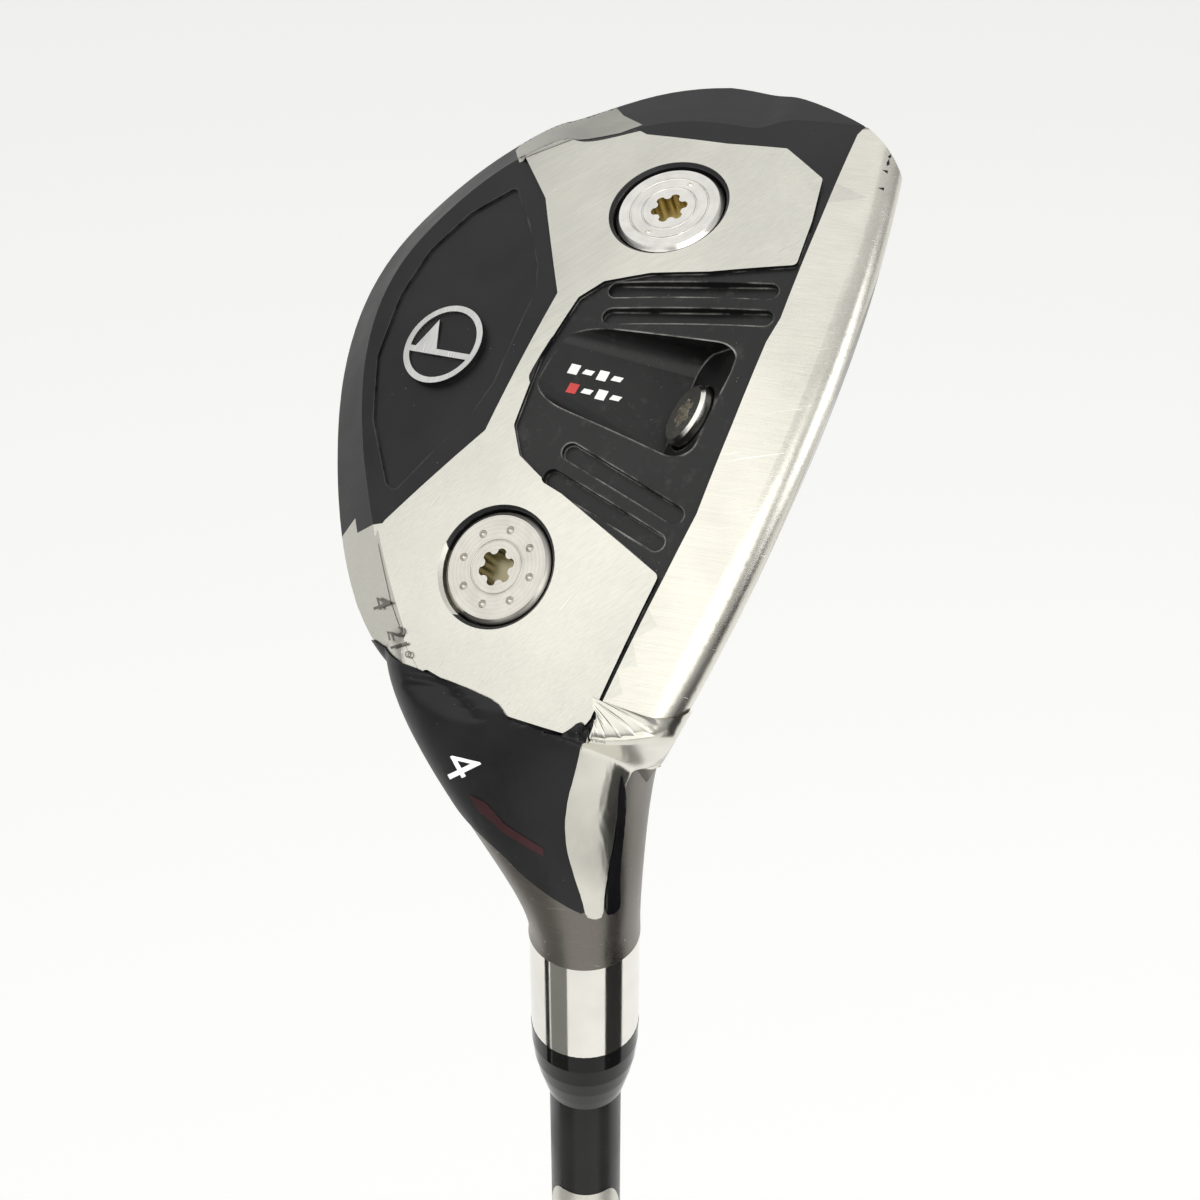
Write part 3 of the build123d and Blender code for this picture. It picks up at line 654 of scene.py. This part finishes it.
# ---------------------------------------------------------------------------
# Paint and marks on the casting
# ---------------------------------------------------------------------------
def neck_paint():
    """Black lacquer over the heel side of the neck, and the polished flank beside it."""
    black = [
        (-100, 13.0), (-93, 20.0), (-80, 23.5), (-62, 25.5), (-48, 27.1), (-33, 29.4), (-15, 30.8), (6, 32.2),
        (29, 33.7), (25, 31.0), (16, 27.5), (6, 24.0), (0, 20.5), (0, 17.0), (8, 13.8), (22, 9.5), (42, 6.8),
        (20, 6.2), (-20, 8.2), (-50, 9.0), (-66, 8.3), (-76, 7.5), (-83, 7.6), (-88, 8.4), (-96, 10.5),
    ]
    skin("neck_lacquer", rounded(black), round_cast, BLACK, 0.40, 0.28, 1)
    spear = [
        (29, 33.9), (38, 34.5), (46, 34.3), (49, 30.5), (58, 27.0), (70, 24.5), (84, 21.5), (100, 18.5),
        (116, 14.5), (122, 9.5), (112, 5.0), (86, 4.0), (60, 5.0), (42, 6.9), (22, 9.6), (8, 13.9), (0, 17.1),
        (0, 20.6), (6, 24.1), (16, 27.6), (25, 31.1),
    ]
    skin("neck_flank", rounded(spear), round_cast, SPEAR, 0.50, 0.30, 3)
    strip = [
        (49, 34.2), (60, 34.4), (66, 33.8), (68, 30.0), (76, 27.0), (92, 23.5), (104, 20.0), (98, 15.0),
        (93, 17.6), (85, 21.6), (71, 24.6), (59, 27.1), (50, 30.6),
    ]
    skin("neck_strip", rounded(strip), round_cast, GLOSS_BLACK, 0.55, 0.33, 2)


# Directions that the marks are laid along: into the sole, to the right and up as read
SIGHT = Vector((0.246, -0.345, 0.906))
READ_RIGHT = Vector((0.389, 0.891, 0.234))
READ_UP = Vector((0.888, -0.295, -0.354))

# Millimetres from a mark to the start of its ray, and from the casting to the digits on it
RAY_START = 8.0
DIGIT_LIFT = 0.34


def numeral(text, name, centre, right, up, size, look):
    """Digits laid on the casting; centre, right and up are in the address frame."""
    data = bpy.data.curves.new(name, "FONT")
    data.body = text
    data.size = size
    data.align_x = "CENTER"
    data.align_y = "CENTER"
    data.resolution_u = 6
    temp = bpy.data.objects.new(name + "_flat", data)
    bpy.context.scene.collection.objects.link(temp)
    bpy.context.view_layer.update()
    mesh = bpy.data.meshes.new_from_object(temp.evaluated_get(bpy.context.evaluated_depsgraph_get()))
    bpy.data.objects.remove(temp)
    bm = bmesh.new()
    bm.from_mesh(mesh)
    bmesh.ops.triangulate(bm, faces=bm.faces)
    bmesh.ops.subdivide_edges(bm, edges=bm.edges, cuts=2, use_grid_fill=True)
    right, up, way = right.normalized(), up.normalized(), SIGHT.normalized()
    for v in bm.verts:
        p = Vector(centre) + right * v.co.x + up * v.co.y - way * RAY_START
        spot = hit_skin(row(*p), turn(*way), 0.06, DIGIT_LIFT)
        v.co = spot or row(*(p + way * RAY_START)) - turn(*way) * (DIGIT_LIFT / 1000.0)
    bm.to_mesh(mesh)
    bm.free()
    add_piece(name, mesh, look)


def tilt(degrees):
    """Right and up directions of a line of marks turned in its own plane."""
    a = math.radians(degrees)
    right = READ_RIGHT * math.cos(a) + READ_UP * math.sin(a)
    return right, READ_UP * math.cos(a) - READ_RIGHT * math.sin(a)


def marks():
    """Numbers and plain bars in place of lettering."""
    numeral("4", "neck_number", (-13.2, -13.2, 11.4), *tilt(-62), 6.2, WHITE_INK)
    numeral("4", "loft_four", (1.2, -29.6, 8.2), *tilt(-72), 3.4, GUNMETAL)
    numeral("21\u00b0", "loft_angle", (-2.8, -25.2, 8.2), *tilt(-72), 3.0, GUNMETAL)
    red = [
        (-62, 19.8), (-58, 21.8), (-46, 23.6), (-30, 24.6), (-16, 25.4),
        (-17, 24.2), (-30, 23.4), (-46, 22.2), (-56, 20.0),
    ]
    skin("neck_stripe", red, round_cast, DARK_RED, 0.4, 0.33)
    r, u = tilt(-13)
    for line in range(2):
        for k in range(4):
            spot = Vector((35.0, -14.9, 4.2)) + r * (k * 1.75 - 2.6 + line * 0.35) - u * (line * 2.3 - 0.2)
            look = RED_INK if (line == 1 and k == 0) else WHITE_INK
            bar("pocket_bar_%d%d" % (line, k), spot, r, u, 1.15, 1.25 if k % 2 == 0 else 0.62, look)


def patch(bm, grid, rows, cols):
    """Faces over a grid of points in rows."""
    for j in range(rows):
        for i in range(cols):
            k = j * (cols + 1) + i
            bm.faces.new((grid[k], grid[k + 1], grid[k + cols + 2], grid[k + cols + 1]))


def bar(name, centre, right, up, wide, tall, look):
    """Small slanted bar laid on the casting."""
    way = SIGHT.normalized()
    slant = 0.35
    bm = bmesh.new()
    rows, cols = 3, 4
    grid = []
    for j in range(rows + 1):
        for i in range(cols + 1):
            a = (i / cols - 0.5) * wide + (j / rows - 0.5) * slant
            b = (j / rows - 0.5) * tall
            p = centre + right * a + up * b - way * RAY_START
            grid.append(bm.verts.new(hit_skin(row(*p), turn(*way), 0.06, 0.08)))
    patch(bm, grid, rows, cols)
    add_piece(name, to_mesh(name, bm), look)


def back_lobes():
    """Satin steel where the panel runs out over the skirt at both back corners."""
    heel = [
        (7.6, -32.6), (4.2, -38.0), (0.6, -39.0), (-4.0, -32.0), (-8.4, -25.0),
        (-8.6, -22.4), (-6.4, -19.6), (-3.4, -23.4), (1.4, -28.0),
    ]
    skin("heel_lobe", heel, plan_cast, PANEL_STEEL, 0.5, 0.05, 1)
    toe = [
        (62.4, -39.6), (66.2, -43.4), (70.0, -44.4), (75.0, -41.0), (79.0, -36.5),
        (74.4, -31.0), (71.6, -26.0), (69.4, -28.0), (66.8, -34.0),
    ]
    skin("toe_lobe", toe, plan_cast, PANEL_STEEL, 0.5, 0.05, 1)


def shaft_patch():
    """Plain silver area printed on the tip section of the shaft."""
    tip_start, top, tall = 860.0, 912.0, 46.0
    bearing, half_turn = 204.0, 74.0
    corner_start, corner_drop = 0.55, 5.0 / 0.2
    cols, rows = 28, 16
    tip = [v.co * 1000.0 for v in NODES["shaft"].data.vertices if v.co.z * 1000.0 > tip_start]
    radius = max(math.hypot(p.x, p.y) for p in tip) + 0.06
    bm = bmesh.new()
    grid = []
    for j in range(rows + 1):
        for i in range(cols + 1):
            u = i / cols * 2.0 - 1.0
            a = math.radians(bearing + half_turn * u)
            z = top - corner_drop * max(0.0, abs(u) - corner_start) ** 2 - tall * j / rows
            corner = Vector((radius * math.cos(a), radius * math.sin(a), z))
            grid.append(bm.verts.new(corner / 1000.0))
    patch(bm, grid, rows, cols)
    for f in bm.faces:
        f.normal_flip()
        f.smooth = True
    add_piece("shaft_patch", to_mesh("shaft_patch", bm), PANEL_STEEL)


# ---------------------------------------------------------------------------
# Studio: dark cards and floor
# ---------------------------------------------------------------------------
def dark_card(name, bearing, spread, tone):
    """Studio flag round the shaft line, seen only in reflections; bearing and spread in degrees."""
    reach, top = 0.60, 1.0
    a = math.radians(bearing)
    p = Vector((math.cos(a), math.sin(a), 0.0)) * reach
    side = Vector((-math.sin(a), math.cos(a), 0.0)) * reach * math.tan(math.radians(spread / 2))
    lift = Vector((0.0, 0.0, top))
    bm = bmesh.new()
    bm.faces.new([bm.verts.new(v) for v in (p - side, p + side, p + side + lift, p - side + lift)])
    mesh = to_mesh(name, bm)
    obj = bpy.data.objects.new(name, mesh)
    bpy.context.scene.collection.objects.link(obj)
    card = Look(name + "_felt", (tone, tone, tone * 0.93), 0.9)
    mesh.materials.append(card.mat)
    obj.visible_camera = False
    obj.visible_diffuse = False
    obj.visible_shadow = False


def studio_flags():
    """Dark cards that draw the stripes in the plated hosel."""
    dark_card("flag_right", 272.0, 42.0, 0.010)
    dark_card("flag_left", 121.0, 12.0, 0.012)
    dark_card("flag_grey", 150.0, 40.0, 0.26)


def paper_floor():
    """Pale floor just under the grip, with a little light of its own."""
    side, gap = 9.0, 0.002
    bpy.ops.mesh.primitive_plane_add(size=1.0)
    floor = bpy.context.object
    floor.name = "floor"
    floor.scale = (side, side, 1.0)
    floor.location = (0.0, 0.0, CAD_BOX[0][2] - gap)
    paper = Look("floor_paper", (0.93, 0.93, 0.92), 0.9)
    cloud = paper.noise(paper.coord, 2.0, 3.0)
    paper.set_colour(paper.mix(cloud, (0.92, 0.92, 0.905), (0.94, 0.94, 0.93)))
    paper.bsdf.inputs["Emission Color"].default_value = (1.0, 0.995, 0.98, 1.0)
    paper.bsdf.inputs["Emission Strength"].default_value = 0.17
    floor.data.materials.append(paper.mat)


TREE = tree_of("head_body")

camera()
world()
lights()
paper_floor()
studio_flags()
body_faces()
simple_nodes()
back_lobes()
neck_paint()
marks()
shaft_patch()
